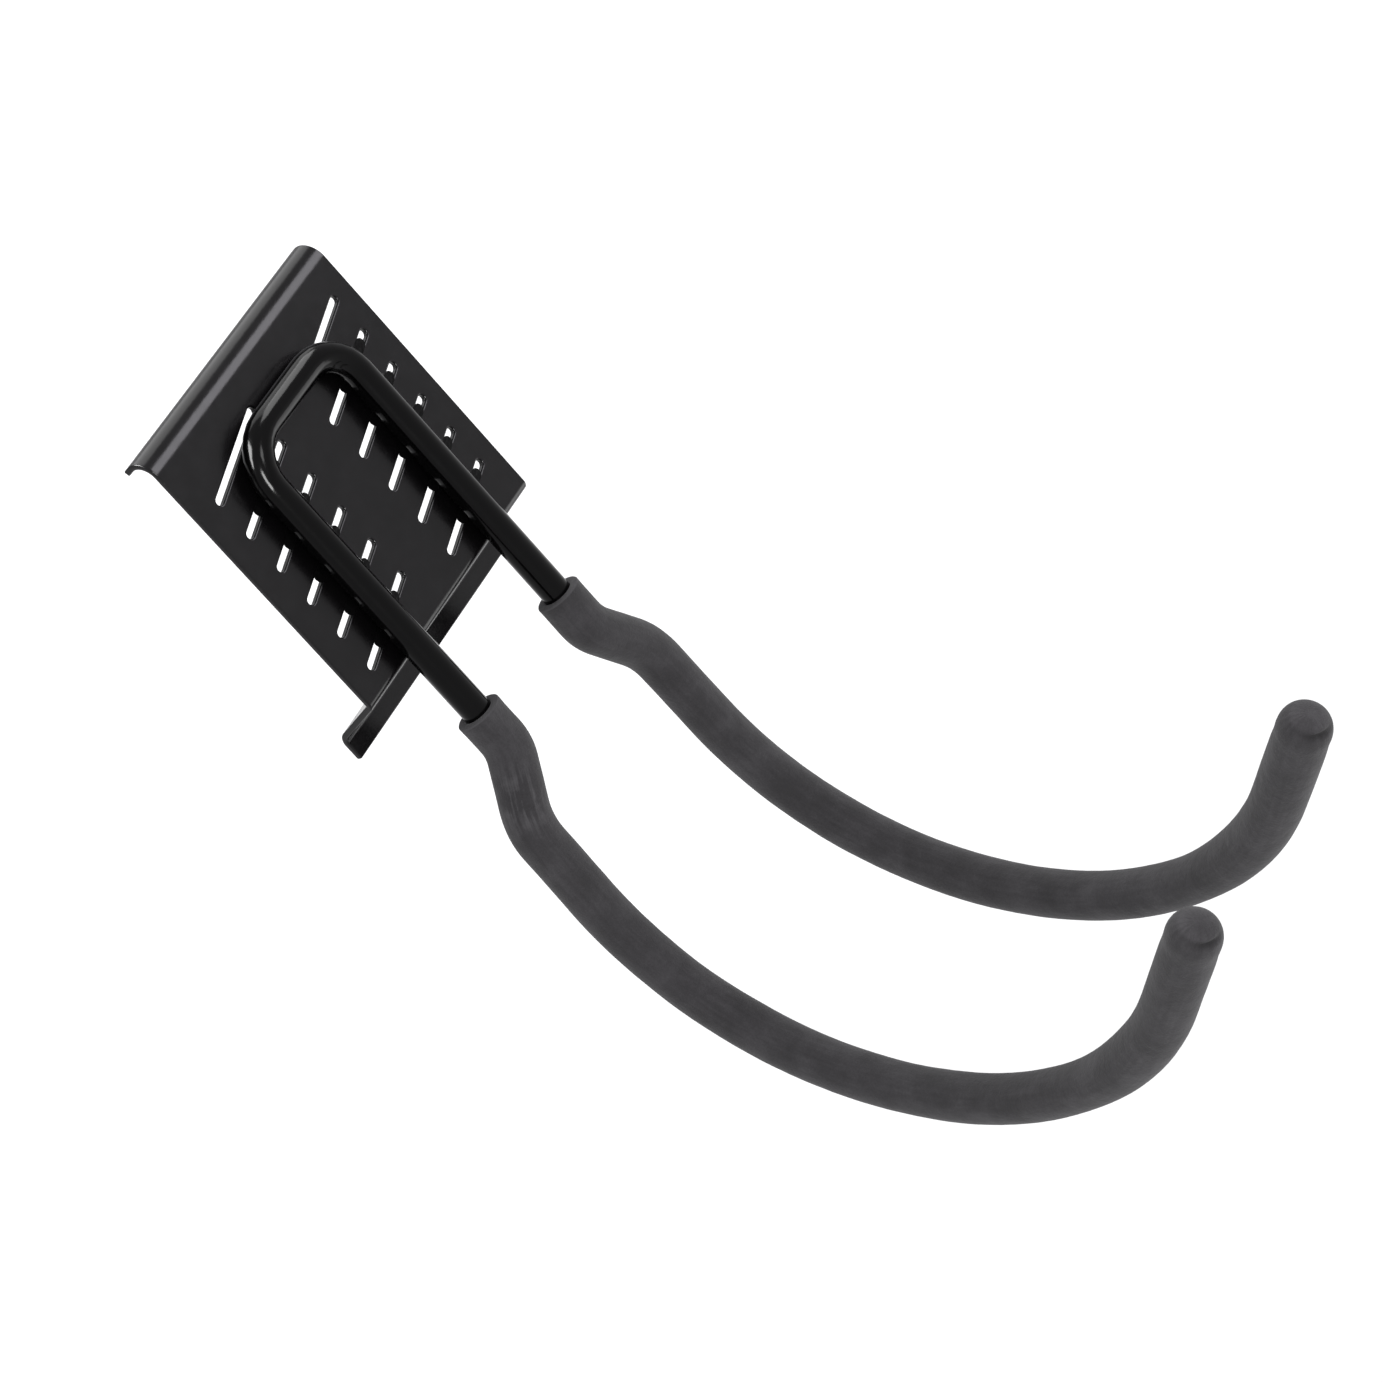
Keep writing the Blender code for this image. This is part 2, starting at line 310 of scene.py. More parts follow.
def foam_scuffing(nodes, cloud, streak):
    """Patches that fade with the distance from the scuff's middle."""
    distance = nodes.add("ShaderNodeVectorMath", operation="DISTANCE")
    nodes.link(nodes.place, distance.inputs[0])
    distance.inputs[1].default_value = SCUFF_PLACE
    near = nodes.map_range(distance.outputs["Value"], 0.0, SCUFF_REACH, 1.0, 0.0)
    patchy = nodes.map_range(nodes.math("ADD", streak, cloud), SCUFF_ONSET, SCUFF_FULL, 0.0, 1.0)
    return nodes.math("MULTIPLY", near, patchy)


def charcoal_foam():
    """Closed-cell foam: matt, cloudy, with fine cells and faint streaks along its length."""
    nodes = Nodes("charcoal_foam")
    cloud = nodes.noise(FOAM_CLOUD_SCALE, detail=5, roughness=0.6)
    speckle = nodes.noise(FOAM_SPECKLE_SCALE, detail=2, roughness=0.6)
    streak = nodes.noise(1.0, detail=3, place=nodes.stretched_place(FOAM_STREAK_SCALES))
    mottled = foam_mottling(nodes, cloud, speckle, streak)
    worn = nodes.mix(foam_scuffing(nodes, cloud, streak), mottled, FOAM_SCUFFED)
    along = nodes.add("ShaderNodeSeparateXYZ")
    nodes.link(nodes.length_uv(), along.inputs["Vector"])
    # Painted light lightens the foam at its mouth.
    at_mouth = nodes.map_range(along.outputs["X"], MOUTH_LIGHT_FULL, MOUTH_LIGHT_GONE, 1.0, 0.0)
    mouth_lit = nodes.mix(at_mouth, worn, FOAM_MOUTH_PAINTED_LIGHT)
    # Painted shade in the tips' creases and painted light on their caps scale the colour.
    tip_light_and_shade = nodes.add("ShaderNodeAttribute", attribute_name="tip_shade")
    tip_painted_colour = nodes.add("ShaderNodeVectorMath", operation="SCALE")
    nodes.link(mouth_lit, tip_painted_colour.inputs[0])
    nodes.link(nodes.math("ADD", tip_light_and_shade.outputs["Fac"], 1.0), tip_painted_colour.inputs["Scale"])
    nodes.link(tip_painted_colour.outputs["Vector"], nodes.shader.inputs["Base Color"])
    roughness = nodes.map_range(cloud, NOISE_LOW, NOISE_HIGH, FOAM_SMOOTHEST, FOAM_ROUGHEST)
    nodes.link(roughness, nodes.shader.inputs["Roughness"])
    dents = nodes.bump(nodes.noise(FOAM_DENT_SCALE, detail=3), FOAM_DENT_DEPTH)
    cells = nodes.bump(nodes.cells(FOAM_CELL_SCALE), FOAM_CELL_DEPTH, normal=dents)
    nodes.link(cells, nodes.shader.inputs["Normal"])
    nodes.shader.inputs["Specular IOR Level"].default_value = FOAM_SPECULAR
    nodes.shader.inputs["Sheen Weight"].default_value = FOAM_SHEEN
    nodes.shader.inputs["Sheen Roughness"].default_value = FOAM_SHEEN_ROUGHNESS
    return nodes.material


# ---------------------------------------------------------------- paths


SHORTEST_RUN = 1e-6
NEARLY_PARALLEL = 1e-3


class Path:
    """A line that is drawn forwards from a point, turning in one plane at a time."""

    def __init__(self, point, heading):
        self.points = [Vector(point)]
        self.heading = Vector(heading).normalized()

    def straight(self, length):
        self.points.append(self.points[-1] + self.heading * length)

    def bend(self, radius, angle, towards):
        start = self.points[-1]
        ahead = self.heading.copy()
        side = Vector(towards) - ahead * ahead.dot(Vector(towards))
        side.normalize()
        steps = max(2, math.ceil(angle / BEND_ANGLE_STEP))
        for step in range(1, steps + 1):
            turned = angle * step / steps
            offset = ahead * math.sin(turned) + side * (1 - math.cos(turned))
            self.points.append(start + offset * radius)
        self.heading = ahead * math.cos(angle) + side * math.sin(angle)

    def bend_to(self, radius, heading):
        target = Vector(heading).normalized()
        self.bend(radius, self.heading.angle(target), target)


def half_bar_path(setback):
    """The right half of the bar's centreline, from the crossbar's middle to the arm's end."""
    path = Path((0.0, BAR_PLANE, CROSSBAR_HEIGHT), (1, 0, 0))
    path.straight(LEG_OFFSET - CROSSBAR_CORNER_RADIUS)
    path.bend(CROSSBAR_CORNER_RADIUS, math.radians(90), (0, 0, -1))
    path.straight(path.points[-1].z - JOG_TOP)
    outwards = (math.cos(JOG_TOWARDS_WALL), math.sin(JOG_TOWARDS_WALL), 0)
    path.bend(JOG_UPPER_RADIUS, JOG_ANGLE, outwards)
    path.straight(JOG_STRAIGHT)
    path.bend_to(JOG_LOWER_RADIUS, (math.sin(SPLAY), 0, -math.cos(SPLAY)))
    path.straight((path.points[-1].z - ARM_SWEEP_START) / math.cos(SPLAY))
    path.bend(ARM_RADIUS, ARM_SWEEP, (0, -1, 0))
    path.straight(ARM_TIP_LENGTH - setback)
    return path.points


def below(points, height):
    """The part of a line that falls below a height, starting exactly at it."""
    for index, (start, end) in enumerate(zip(points, points[1:])):
        if start.z >= height > end.z:
            crossing = start.lerp(end, (start.z - height) / (start.z - end.z))
            return [crossing] + points[index + 1 :]
    return points


def mirrored(points):
    return [Vector((-point.x, point.y, point.z)) for point in points]


class Line:
    """A measured line: its point, heading and side directions at any distance along it."""

    def __init__(self, points):
        self.points = [points[0]]
        self.distances = [0.0]
        for point in points[1:]:
            length = (point - self.points[-1]).length
            if length > SHORTEST_RUN:
                self.points.append(point)
                self.distances.append(self.distances[-1] + length)
        self.length = self.distances[-1]
        self.headings = self._headings()
        self.sides = self._sides()

    def _headings(self):
        runs = [(b - a).normalized() for a, b in zip(self.points, self.points[1:])]
        inner = [(a + b).normalized() for a, b in zip(runs, runs[1:])]
        return [runs[0]] + inner + [runs[-1]]

    def _sides(self):
        """Side directions carried along the line without twisting."""
        heading = self.headings[0]
        side = heading.cross(Vector((0, 1, 0)))
        if side.length < NEARLY_PARALLEL:
            side = heading.cross(Vector((1, 0, 0)))
        sides = [side.normalized()]
        for before, after in zip(self.headings, self.headings[1:]):
            turned = before.rotation_difference(after) @ sides[-1]
            turned -= after * after.dot(turned)
            sides.append(turned.normalized())
        return sides

    def at(self, distance):
        """Point, heading, side and the other side at a distance along the line."""
        index = 0
        while index < len(self.distances) - 2 and self.distances[index + 1] < distance:
            index += 1
        span = self.distances[index + 1] - self.distances[index]
        share = min(1.0, max(0.0, (distance - self.distances[index]) / span))
        point = self.points[index].lerp(self.points[index + 1], share)
        heading = self.headings[index].lerp(self.headings[index + 1], share).normalized()
        side = self.sides[index].lerp(self.sides[index + 1], share)
        side = (side - heading * heading.dot(side)).normalized()
        return point, heading, side, heading.cross(side)


def even_distances(start, end, step):
    count = max(1, math.ceil((end - start) / step))
    return [start + (end - start) * index / count for index in range(count + 1)]


# ---------------------------------------------------------------- meshes


def add_object(name, mesh, material):
    obj = bpy.data.objects.new(name, mesh)
    bpy.context.scene.collection.objects.link(obj)
    if material:
        mesh.materials.append(material)
    return obj


def stands_for(obj, node):
    """Makes a fine piece take the place of one node of the design."""
    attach(obj, "root")
    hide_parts(node)


def ring(frame_at, radius, sides):
    """The points of one circle round a line, where radius is a number or a function."""
    point, _, side, other = frame_at
    points = []
    for index in range(sides):
        angle = 2 * math.pi * index / sides
        out = side * math.cos(angle) + other * math.sin(angle)
        reach = radius(point, out) if callable(radius) else radius
        points.append(point + out * reach)
    return points


def finished_mesh(name, shape):
    mesh = bpy.data.meshes.new(name)
    shape.to_mesh(mesh)
    shape.free()
    return mesh


def smooth_between_edges(mesh):
    mesh.shade_smooth()
    mesh.set_sharp_from_angle(angle=SMOOTH_ANGLE)


def join_rings(shape, rows):
    """Faces between neighbouring rings, each with its row and its place round the ring."""
    sides = len(rows[0])
    faces = []
    for row, (lower, upper) in enumerate(zip(rows, rows[1:])):
        for index in range(sides):
            after = (index + 1) % sides
            face = shape.faces.new((lower[index], lower[after], upper[after], upper[index]))
            faces.append((face, row, index))
    return faces


def loft(name, rings, lengths):
    """A closed mesh through rings of points, with its ends filled and its length in a UV map."""
    shape = bmesh.new()
    uv = shape.loops.layers.uv.new("length")
    rows = [[shape.verts.new(point) for point in points] for points in rings]
    sides = len(rows[0])
    for face, row, index in join_rings(shape, rows):
        corners = ((index, row), (index + 1, row), (index + 1, row + 1), (index, row + 1))
        for loop, (across, along) in zip(face.loops, corners):
            loop[uv].uv = (lengths[along], across / sides)
    for row, length in ((rows[0], lengths[0]), (rows[-1], lengths[-1])):
        centre = shape.verts.new(sum((vert.co for vert in row), Vector()) / sides)
        for index in range(sides):
            face = shape.faces.new((row[index], row[(index + 1) % sides], centre))
            for loop in face.loops:
                loop[uv].uv = (length, index / sides)
    bmesh.ops.recalc_face_normals(shape, faces=shape.faces)
    mesh = finished_mesh(name, shape)
    smooth_between_edges(mesh)
    return mesh


# ---------------------------------------------------------------- back plate


def plate_profile():
    """The sheet's front surface seen from the side, from the ledge's foot up to the lip."""
    front = -PLATE_THICKNESS
    upward = Path((0.0, front, PLATE_TOP), (0, 0, 1))
    upward.bend(LIP_BEND_RADIUS, math.radians(90) + LIP_SLOPE, (0, 1, 0))
    upward.straight(LIP_LENGTH)
    slope = math.atan2(LEDGE_DROP, LEDGE_DEPTH)
    turn = math.radians(90) - slope
    downward = Path((0.0, front, PLATE_BOTTOM + LEDGE_BEND_RADIUS), (0, 0, -1))
    downward.bend(LEDGE_BEND_RADIUS, turn, (0, 1, 0))
    reach = LEDGE_DEPTH - 2 * LEDGE_BEND_RADIUS * (1 - math.cos(turn))
    downward.straight(reach / math.cos(slope))
    downward.bend(LEDGE_BEND_RADIUS, turn, (0, 0, -1))
    foot_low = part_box("back_plate")[0].z
    downward.straight(downward.points[-1].z - foot_low)
    return downward.points[::-1] + upward.points


def sheet_mesh(name, profile, width):
    shape = bmesh.new()
    verts = [shape.verts.new((-width / 2, point.y, point.z)) for point in profile]
    edges = [shape.edges.new(pair) for pair in zip(verts, verts[1:])]
    swept = bmesh.ops.extrude_edge_only(shape, edges=edges)["geom"]
    moved = [item for item in swept if isinstance(item, bmesh.types.BMVert)]
    bmesh.ops.translate(shape, verts=moved, vec=(width, 0, 0))
    return finished_mesh(name, shape)


def slot_centre(side, row):
    x = SLOT_COLUMNS_SHIFT + side * SLOT_COLUMN_OFFSET
    return Vector((x, 0.0, SLOT_LOWEST + row * SLOT_PITCH))


def weld_centre(side, row):
    """The middle of a weld, on its slot's own middle line."""
    slot = slot_centre(side, row)
    shift = WELD_COLUMNS_SHIFT + side * WELD_COLUMN_OFFSET - slot.x
    return slot + Vector((shift, 0.0, shift * math.tan(SLOT_TILT)))


def capsule_outline(length, width):
    """The outline of a slot with round ends, lying along X, as (along, across) pairs."""
    radius = width / 2
    reach = length / 2 - radius
    outline = []
    for side, first in ((1, -90), (-1, 90)):
        for step in range(SLOT_END_STEPS + 1):
            angle = math.radians(first + 180 * step / SLOT_END_STEPS)
            outline.append((side * reach + radius * math.cos(angle), radius * math.sin(angle)))
    return outline


def slot_ring(centre, length, width, depth):
    """A slot's outline in place, at a depth given along Y."""
    tilt_cos = math.cos(SLOT_TILT)
    tilt_sin = math.sin(SLOT_TILT)
    points = []
    for along, across in capsule_outline(length, width):
        x = centre.x + along * tilt_cos - across * tilt_sin
        z = centre.z + along * tilt_sin + across * tilt_cos
        points.append(Vector((x, depth, z)))
    return points


def rounding_steps(radius, steps=5):
    """(depth below a face, growth of a hole's outline) down a rounded rim."""
    pairs = []
    for step in range(steps + 1):
        angle = math.radians(90) * step / steps
        pairs.append((radius * (1 - math.cos(angle)), radius * (1 - math.sin(angle))))
    return pairs


def slot_cutter_rings(centre):
    """Rings of a cutter that is flared at both faces, so that the slot's rims come out round."""
    front = -PLATE_THICKNESS
    spare = PLATE_THICKNESS / 2
    stations = [(front - spare, SLOT_FRONT_ROUNDING)]
    stations += [(front + depth, grow) for depth, grow in rounding_steps(SLOT_FRONT_ROUNDING)]
    rear = [(-depth, grow) for depth, grow in rounding_steps(SLOT_REAR_ROUNDING)]
    stations += rear[::-1] + [(spare, SLOT_REAR_ROUNDING)]
    return [
        slot_ring(centre, SLOT_LENGTH + 2 * grow, SLOT_WIDTH + 2 * grow, depth)
        for depth, grow in stations
    ]


def slot_cutter():
    shape = bmesh.new()
    for side in (-1, 1):
        for row in range(SLOT_ROWS):
            rings = slot_cutter_rings(slot_centre(side, row))
            rows = [[shape.verts.new(point) for point in points] for points in rings]
            join_rings(shape, rows)
            shape.faces.new(rows[0])
            shape.faces.new(rows[-1])
    bmesh.ops.recalc_face_normals(shape, faces=shape.faces)
    return add_object("slot_cutter", finished_mesh("slot_cutter", shape), None)


def baked(obj):
    """Applies an object's modifiers to its mesh."""
    evaluated = obj.evaluated_get(bpy.context.evaluated_depsgraph_get())
    mesh = bpy.data.meshes.new_from_object(evaluated)
    obj.modifiers.clear()
    obj.data = mesh
    return mesh


def build_back_plate(material):
    low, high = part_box("back_plate")
    sheet = sheet_mesh("plate_sheet", plate_profile(), high.x - low.x)
    plate = add_object("plate_sheet", sheet, material)
    solidify = plate.modifiers.new("sheet thickness", "SOLIDIFY")
    solidify.thickness = PLATE_THICKNESS
    solidify.offset = -1.0
    solidify.use_even_offset = True
    bevel = plate.modifiers.new("trimmed edges", "BEVEL")
    bevel.width = SHEET_EDGE_ROUNDING
    bevel.segments = SHEET_EDGE_STEPS
    bevel.limit_method = "ANGLE"
    bevel.angle_limit = SHEET_EDGE_ANGLE
    cutter = slot_cutter()
    boolean = plate.modifiers.new("slots", "BOOLEAN")
    boolean.operation = "DIFFERENCE"
    boolean.solver = "EXACT"
    boolean.object = cutter
    mesh = baked(plate)
    bpy.data.objects.remove(cutter, do_unlink=True)
    smooth_between_edges(mesh)
    weighted = plate.modifiers.new("flat faces stay flat", "WEIGHTED_NORMAL")
    weighted.weight = 100
    weighted.keep_sharp = True
    stands_for(plate, "back_plate")
    return plate


# ---------------------------------------------------------------- bar


def build_bar(material):
    half = half_bar_path(BAR_END_SETBACK)
    line = Line(mirrored(half)[::-1] + half[1:])
    distances = even_distances(0.0, line.length, BAR_STEP)
    rings = [ring(line.at(distance), BAR_RADIUS, BAR_SIDES) for distance in distances]
    bar = add_object("bent_bar", loft("bent_bar", rings, distances), material)
    stands_for(bar, "wire_frame")
    return bar


# ---------------------------------------------------------------- foam sleeves


def smooth_share(value, start, length):
    share = min(1.0, max(0.0, (value - start) / length))
    return share * share * (3 - 2 * share)


# The skin's slow waves and finer ripple, and how far its middle keeps inside the design's
# outline to make up for most of them. They set in over a short stretch behind the mouth.
WAVE_SCALE = 45
WAVE_HEIGHT = 0.00016
RIPPLE_SCALE = 190
RIPPLE_HEIGHT = 0.00005
SKIN_INSET = 0.00012
UNEVENNESS_FADE = 0.0040

# The foam hugs the bar at its mouth, and its plain bore begins a little way in.
SNUG_BORE = BAR_RADIUS + 0.00006
BORE_MOUTH_ROUNDING = 0.00015
BORE_MOUTH_STEPS = 2
PLAIN_BORE_START = 0.0040
BORE_STEP = 0.0040
MOUTH_STEPS = 6

# Near the closed end the foam is drawn in a little all round.
WAIST_BEFORE_TIP = 0.0030
WAIST_REACH = 0.0048
WAIST_DEPTH = 0.00013

# Past the waist the rounded cap has a short crease on its low side. Painted shade makes the
# crease darker than the foam around it, and painted light makes the cap beyond it lighter.
CREASE_DEPTH = 0.00095
CREASE_REACH = 0.0013
CREASE_PAST_TIP_START = 0.0056
CREASE_NARROWNESS = 3
CREASE_HEADING = Vector((-0.572, -0.518, -0.638)).normalized()
CREASE_PAINTED_SHADE = 0.62
CAP_PAINTED_LIGHT = 0.45
CAP_START = 0.0061
CAP_LENGTH = 0.0012

# The cap is a dome that is a little fuller than half a ball, and stops just short of its pole.
TIP_STEP = 0.0004
TIP_FINE_LENGTH = 0.0050
DOME_STEPS = 24
DOME_END = math.radians(88)
DOME_LENGTH_POWER = 0.9
DOME_WIDTH_POWER = 0.8

# Gives the two sleeves different unevenness.
SEED_STEP = 3.0


def foam_unevenness(point, out, seed):
    """How far the foam's skin stands off its true surface."""
    place = point + out * SLEEVE_RADIUS + Vector((seed, 0, 0))
    slow = noise.noise(place * WAVE_SCALE)
    fine = noise.noise(place * RIPPLE_SCALE)
    return WAVE_HEIGHT * slow + RIPPLE_HEIGHT * fine


def crease_share(distance, tip_start, out):
    crease = max(0.0, 1 - abs(distance - (tip_start + CREASE_PAST_TIP_START)) / CREASE_REACH)
    facing = max(0.0, out.dot(CREASE_HEADING))
    return smooth_share(crease, 0, 1) * facing**CREASE_NARROWNESS


def tip_shaping(distance, tip_start, out):
    """How far the foam's skin is drawn in near its closed end."""
    waist = max(0.0, 1 - abs(distance - (tip_start - WAIST_BEFORE_TIP)) / WAIST_REACH)
    crease = crease_share(distance, tip_start, out)
    return WAIST_DEPTH * smooth_share(waist, 0, 1) + CREASE_DEPTH * crease


def paint_tip_light_and_shade(mesh, line, tip_start):
    """Notes the painted shade that darkens the crease and the painted light that lightens the
    cap.
    """
    centre, heading, _, _ = line.at(tip_start)
    tip_light_and_shade = mesh.attributes.new("tip_shade", "FLOAT", "POINT")
    for vert, item in zip(mesh.vertices, tip_light_and_shade.data):
        arm = vert.co - centre
        along = arm.dot(heading)
        if along > 0:
            out = (arm - heading * along).normalized()
            item.value = CAP_PAINTED_LIGHT * smooth_share(along, CAP_START, CAP_LENGTH)
            item.value -= CREASE_PAINTED_SHADE * crease_share(tip_start + along, tip_start, out)


def bore_sections(length):
    """(distance, radius) up the bore, from its closed end to its mouth."""
    bore_end = length - BAR_END_SETBACK + CLEARANCE
    plain = even_distances(PLAIN_BORE_START, bore_end, BORE_STEP)[::-1]
    mouth = rounding_steps(BORE_MOUTH_ROUNDING, BORE_MOUTH_STEPS)[::-1]
    return [(distance, BAR_RADIUS + CLEARANCE) for distance in plain] + [
        (depth, SNUG_BORE + grow) for depth, grow in mouth
    ]


def mouth_sections():
    """(distance, radius) over the rounded edge of the cut end."""
    sections = []
    for step in range(1, MOUTH_STEPS + 1):
        angle = math.radians(90) * step / MOUTH_STEPS
        radius = SLEEVE_RADIUS - SLEEVE_MOUTH_ROUNDING + SLEEVE_MOUTH_ROUNDING * math.sin(angle)
        sections.append((SLEEVE_MOUTH_ROUNDING * (1 - math.cos(angle)), radius - SKIN_INSET))
    return sections


def skin_radius(distance, tip_start, seed):
    """The outer radius at a distance, as a function of the place round the line."""
    thickening = smooth_share(distance, SLEEVE_THICKENING_START, SLEEVE_THICKENING_LENGTH)
    plain = SLEEVE_RADIUS + (SLEEVE_TIP_RADIUS - SLEEVE_RADIUS) * thickening
    fade = smooth_share(distance, 0.0, UNEVENNESS_FADE)
    return lambda point, out: (
        plain - SKIN_INSET + fade * foam_unevenness(point, out, seed)
        - tip_shaping(distance, tip_start, out)
    )


def skin_sections(tip_start, seed):
    """(distance, radius) along the outside, in finer steps towards the cap."""
    fine_start = tip_start - TIP_FINE_LENGTH
    distances = even_distances(SLEEVE_MOUTH_ROUNDING, fine_start, SLEEVE_STEP)[1:]
    distances += even_distances(fine_start, tip_start, TIP_STEP)[1:]
    return [(distance, skin_radius(distance, tip_start, seed)) for distance in distances]


def dome_radius(reach, distance, tip_start):
    return lambda point, out: reach - tip_shaping(distance, tip_start, out)


def dome_sections(tip_start):
    """(distance, radius) over the rounded cap."""
    sections = []
    for step in range(1, DOME_STEPS + 1):
        angle = DOME_END * step / DOME_STEPS
        along = math.sin(angle) ** DOME_LENGTH_POWER
        reach = (SLEEVE_TIP_RADIUS - SKIN_INSET) * math.cos(angle) ** DOME_WIDTH_POWER
        distance = tip_start + SLEEVE_TIP_RADIUS * along
        sections.append((distance, dome_radius(reach, distance, tip_start)))
    return sections


def build_sleeve(name, node, side, material):
    points = below(half_bar_path(0.0), SLEEVE_TOP)
    if side < 0:
        points = mirrored(points)
    line = Line(points)
    tip_start = line.length - SLEEVE_TIP_RADIUS
    sections = bore_sections(line.length) + mouth_sections()
    sections += skin_sections(tip_start, SEED_STEP * side) + dome_sections(tip_start)
    rings = [ring(line.at(distance), radius, SLEEVE_SIDES) for distance, radius in sections]
    mesh = loft(name, rings, [distance for distance, _ in sections])
    paint_tip_light_and_shade(mesh, line, tip_start)
    sleeve = add_object(name, mesh, material)
    stands_for(sleeve, node)
    return sleeve


# ---------------------------------------------------------------- welds


# How far a weld keeps off its slot's wall, how high its dome rises behind, and the width that
# stays flat on the dome.
WELD_SHRINK = 0.00004
WELD_DOME = 0.0009
WELD_DOME_FLAT = 0.0006
WELD_DOME_STEPS = 8


def build_weld(name, centre, material):
    """Weld metal that fills the slot behind the bar, flared at the front and domed behind."""
    front = -PLATE_THICKNESS
    dome_base = -CLEARANCE - WELD_DOME
    dome_inset = SLOT_WIDTH - WELD_DOME_FLAT
    rings = []
    for depth, grow in rounding_steps(SLOT_FRONT_ROUNDING):
        wide = 2 * (grow - WELD_SHRINK)
        rings.append(slot_ring(centre, WELD_LENGTH + wide, SLOT_WIDTH + wide, front + depth))
    for step in range(WELD_DOME_STEPS + 1):
        angle = math.radians(90) * step / WELD_DOME_STEPS
        inset = 2 * WELD_SHRINK + (1 - math.cos(angle)) * dome_inset
        depth = dome_base + WELD_DOME * math.sin(angle)
        rings.append(slot_ring(centre, WELD_LENGTH - inset, SLOT_WIDTH - inset, depth))
    return add_object(name, loft(name, rings, list(range(len(rings)))), material)


def build_welds(material):
    for side, side_name in ((-1, "left"), (1, "right")):
        for row in range(WELD_ROWS):
            name = f"weld_bead_{side_name}_{row + 1}"
            weld = build_weld(name, weld_centre(side, row), material)
            stands_for(weld, f"slot_weld_{side_name}_{row + 1}")


# ---------------------------------------------------------------- stage


FLOOR_HEIGHT = -0.95
FLOOR_SIZE = 40.0
FLOOR_SHADES = ((0.2, (0.90, 0.90, 0.90)), (0.8, (0.93, 0.93, 0.93)))
FLOOR_NOISE_SCALE = 3.0
FLOOR_ROUGHNESS = 0.9
FLOOR_SPECULAR = 0.1


def build_floor():
    nodes = Nodes("pale_floor")
    shades = nodes.ramp(nodes.noise(FLOOR_NOISE_SCALE), FLOOR_SHADES)
    nodes.link(shades, nodes.shader.inputs["Base Color"])
    nodes.shader.inputs["Roughness"].default_value = FLOOR_ROUGHNESS
    nodes.shader.inputs["Specular IOR Level"].default_value = FLOOR_SPECULAR
    shape = bmesh.new()
    bmesh.ops.create_grid(shape, x_segments=1, y_segments=1, size=FLOOR_SIZE / 2)
    bmesh.ops.translate(shape, verts=shape.verts, vec=(0, 0, FLOOR_HEIGHT))
    floor = add_object("floor", finished_mesh("floor", shape), nodes.material)


def add_area_light(name, place, target, size, power):
    light = bpy.data.lights.new(name, "AREA")
    light.shape = "RECTANGLE"
    light.size, light.size_y = size
    light.energy = power
    obj = bpy.data.objects.new(name, light)
    obj.location = place
    obj.rotation_mode = "QUATERNION"
    obj.rotation_quaternion = (Vector(target) - Vector(place)).to_track_quat("-Z", "Y")
    bpy.context.scene.collection.objects.link(obj)
    return obj


def light_only(light, names):
    """Keeps a light to the named pieces."""
    lit = bpy.data.collections.new(light.name + "_lights")
    for name in names:
        lit.objects.link(bpy.data.objects[name])
    light.light_linking.receiver_collection = lit


EVERYTHING = ()
PLATE = ("plate_sheet",)
BAR = ("bent_bar",)
FOAM = ("foam_grip_left", "foam_grip_right")
HOOK = (0.0, 0.0, 0.0)

# Soft lights: name, place, target, size, power and what it lights. With this lip, no one light
# gave both the plate's and the bar's highlights, so each has a light of its own. The washes
# brighten the floor behind the hook.
LIGHTS = (
    ("key", (0.76, -1.00, 0.30), HOOK, (0.9, 0.76), 14.5, PLATE),
    ("bar_light", (0.76, -0.46, 0.96), HOOK, (0.9, 0.5), 11, BAR),
    ("window", (-0.94, -0.86, 0.13), HOOK, (0.28, 0.60), 17, PLATE + BAR),
    ("top", (-0.84, 0.38, 1.17), HOOK, (0.9, 0.9), 76, PLATE + BAR),
    ("front", (-0.15, -1.32, 0.45), HOOK, (0.35, 0.35), 3.0, BAR),
    ("low_fill", (0.56, -0.40, -0.68), HOOK, (0.5, 0.4), 1.6, EVERYTHING),
    ("near_wash", (1.70, 1.45, 2.40), (1.50, 1.80, -0.95), (3.2, 3.2), 72, EVERYTHING),
    ("far_wash", (3.20, 4.20, 2.20), (3.40, 4.50, -0.95), (3.0, 3.0), 95, EVERYTHING),
    ("foam_fill", (-0.90, -1.20, 0.05), (0.0, -0.08, -0.18), (1.2, 1.2), 14, FOAM),
)
REFLECTED_ONLY = ("window", "top")
NEVER_REFLECTED = ("far_wash",)
KEY_COLOUR = (0.96, 0.94, 1.0)
WORLD_COLOUR = (0.985, 0.98, 1.0, 1.0)
WORLD_STRENGTH = 0.62


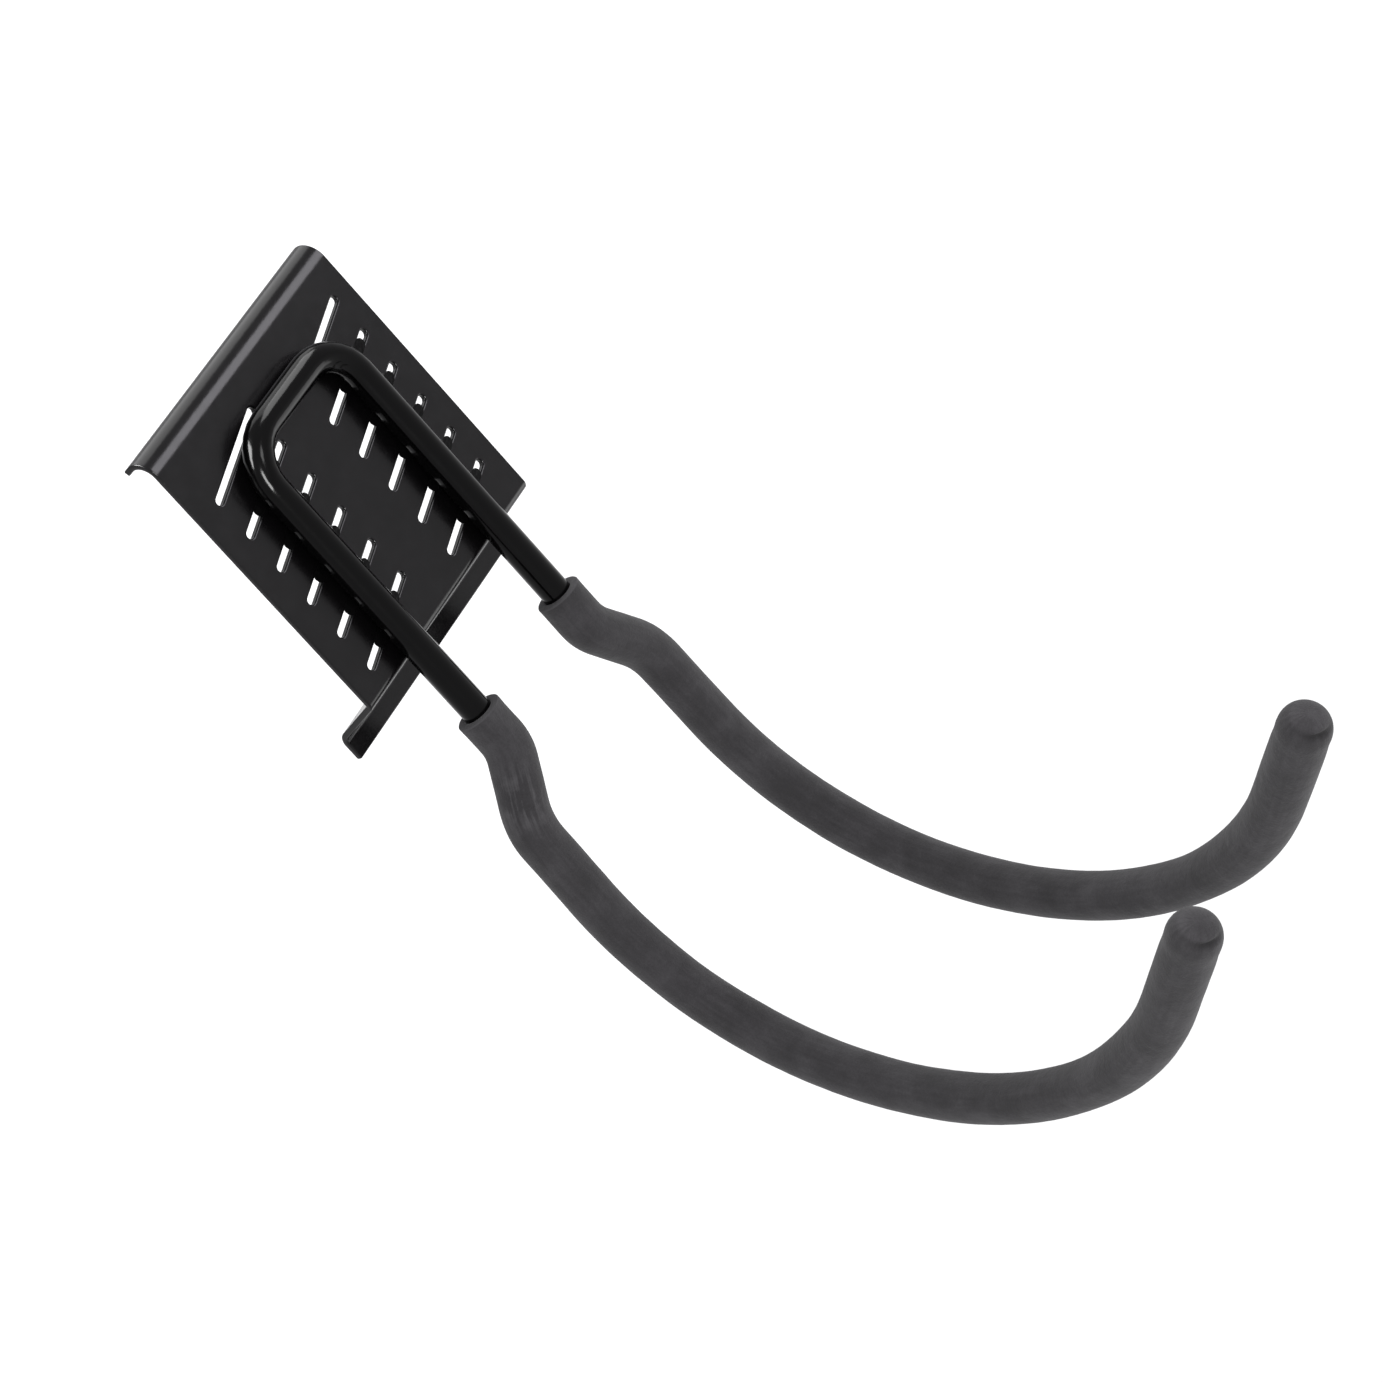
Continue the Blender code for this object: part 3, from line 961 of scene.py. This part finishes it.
def build_world():
    world = bpy.data.worlds.new("studio")
    world.use_nodes = True
    background = world.node_tree.nodes["Background"]
    background.inputs["Color"].default_value = WORLD_COLOUR
    background.inputs["Strength"].default_value = WORLD_STRENGTH
    bpy.context.scene.world = world


def build_lights():
    for name, place, target, size, power, lit in LIGHTS:
        light = add_area_light(name, place, target, size, power)
        light.visible_diffuse = name not in REFLECTED_ONLY
        light.visible_glossy = name not in NEVER_REFLECTED
        if lit:
            light_only(light, lit)
    bpy.data.lights["key"].color = KEY_COLOUR


# ---------------------------------------------------------------- camera


CAMERA_PLACE = Vector((-0.83814, -1.12740, 0.42078))
CAMERA_AHEAD = Vector((0.57480, 0.73424, -0.36123))
CAMERA_ROLL = math.radians(41.695)
CAMERA_LENS = 130.15
CAMERA_SENSOR_WIDTH = 36.0


def build_camera():
    camera = bpy.data.cameras.new("camera")
    camera.sensor_width = CAMERA_SENSOR_WIDTH
    camera.lens = CAMERA_LENS
    obj = bpy.data.objects.new("camera", camera)
    bpy.context.scene.collection.objects.link(obj)
    ahead = CAMERA_AHEAD.normalized()
    level_right = ahead.cross(Vector((0, 0, 1))).normalized()
    level_up = level_right.cross(ahead)
    up = level_up * math.cos(CAMERA_ROLL) + level_right * math.sin(CAMERA_ROLL)
    right = ahead.cross(up)
    turn = Matrix((right, up, -ahead)).transposed()
    obj.matrix_world = Matrix.Translation(CAMERA_PLACE) @ turn.to_4x4()
    bpy.context.scene.camera = obj


def main():
    plate_paint = painted_steel("gloss_black_plate", *PLATE_PAINT)
    bar_paint = painted_steel("gloss_black_bar", *BAR_PAINT)
    weld_paint = painted_steel("black_weld", *WELD_PAINT)
    foam = charcoal_foam()
    build_camera()
    build_back_plate(plate_paint)
    build_bar(bar_paint)
    build_sleeve("foam_grip_left", "foam_sleeve_left", -1, foam)
    build_sleeve("foam_grip_right", "foam_sleeve_right", 1, foam)
    build_welds(weld_paint)
    build_floor()
    build_world()
    build_lights()
    bpy.context.scene.view_settings.view_transform = "Standard"


main()
